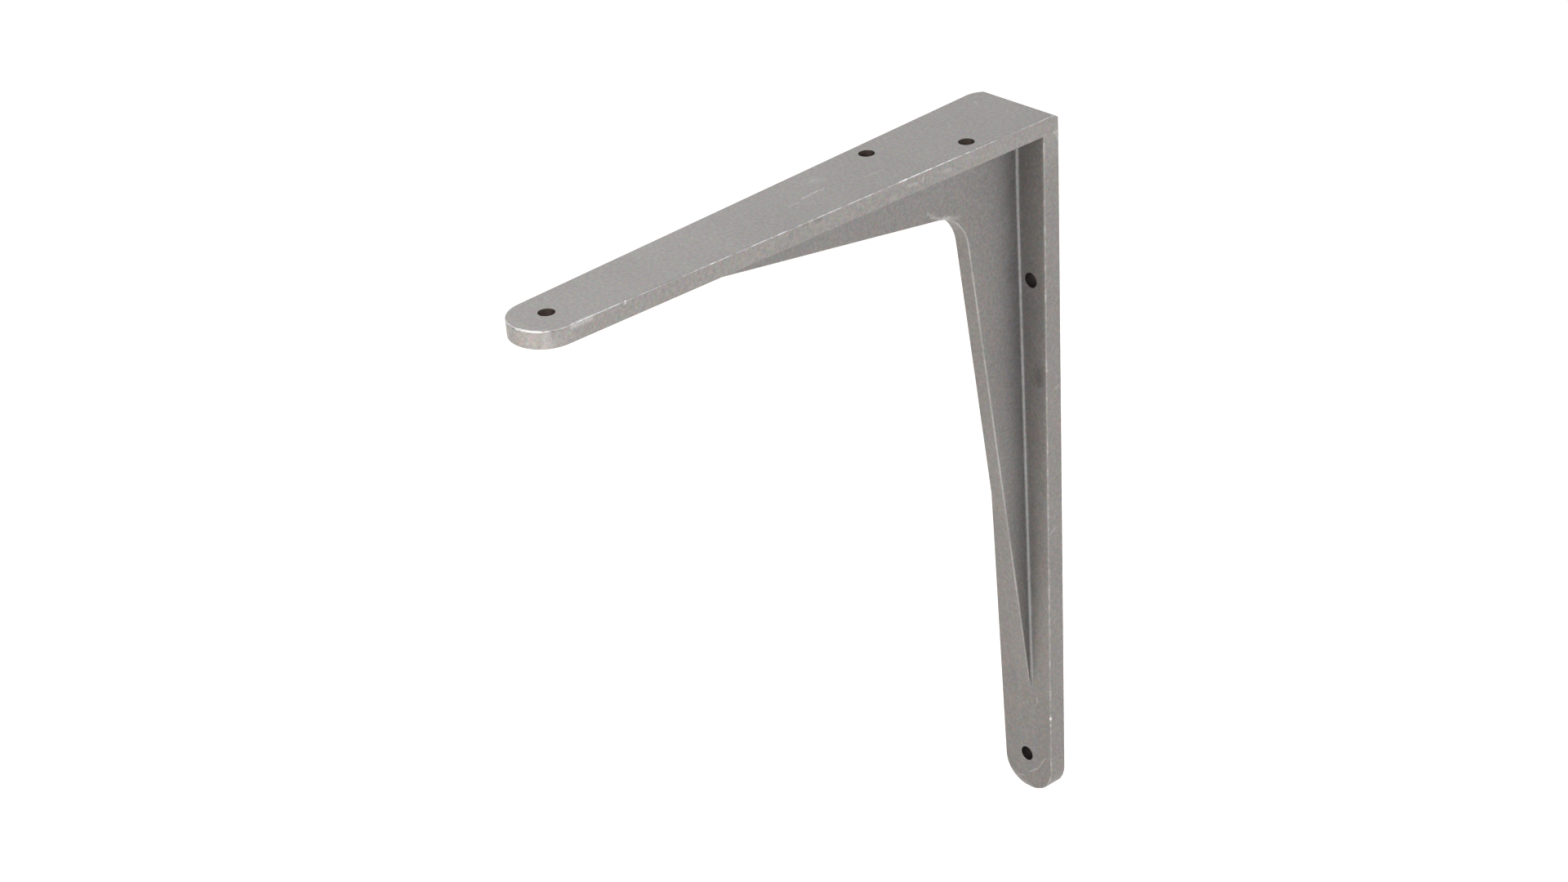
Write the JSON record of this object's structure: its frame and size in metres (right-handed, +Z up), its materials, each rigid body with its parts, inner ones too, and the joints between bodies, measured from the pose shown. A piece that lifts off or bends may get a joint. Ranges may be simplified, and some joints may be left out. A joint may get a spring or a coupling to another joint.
{
  "type": "aluminium shelf bracket",
  "caption": "L-shaped cast bracket with tapering, round-ended arms, a web in the angle and staggered screw holes, which carries a shelf off a wall.",
  "frame": {"origin": "on the wall face, on the bracket's middle plane, half way up the wall arm (150 mm below the shelf face)", "axes": "+Y out of the wall face into the wall, the shelf arm reaches towards -Y, +Z up out of the shelf face, +X along the width"},
  "size_m": [0.039, 0.2495, 0.3],
  "materials": {
    "cast_aluminium": "dull, fine-grained cast and tumbled surface, burnished bright along its edges"
  },
  "bodies": {
    "root": {"bracket": "cast_aluminium"}
  },
  "joints": []
}
